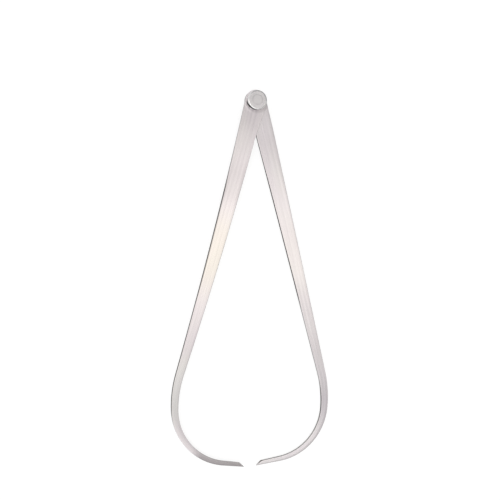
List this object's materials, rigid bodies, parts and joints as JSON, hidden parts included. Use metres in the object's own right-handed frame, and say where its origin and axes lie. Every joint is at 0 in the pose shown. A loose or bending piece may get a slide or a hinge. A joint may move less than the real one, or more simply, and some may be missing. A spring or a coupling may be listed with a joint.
{
  "type": "outside caliper",
  "caption": "Flat steel legs crossed on a firm riveted joint, bowing out and back in to pointed tips, for sizing work from outside.",
  "frame": {"origin": "on the pivot axis, at the flat back of the joint, where the rear disc and the rivet's end are flush", "axes": "+Z along the pivot axis towards the front of the caliper, +Y from the tips to the joint"},
  "size_m": [0.1262, 0.295, 0.0129],
  "materials": {
    "leg_steel": "brushed along the strip",
    "disc_steel": "turned face, polished rim",
    "rivet_steel": "ends dressed flush",
    "washer_steel": "plain"
  },
  "bodies": {
    "rear_half": {"rear_leg": "leg_steel", "rear_disc": "disc_steel", "front_disc": "disc_steel", "pivot_rivet": "rivet_steel", "friction_washer": "washer_steel"},
    "front_half": {"front_leg": "leg_steel"}
  },
  "joints": [
    {"name": "leg_pivot", "type": "hinge", "parent": "rear_half", "child": "front_half", "pos_m": [0, 0, 0.00643], "axis": [0, 0, -1], "range_deg": [-2, 145.7]}
  ]
}
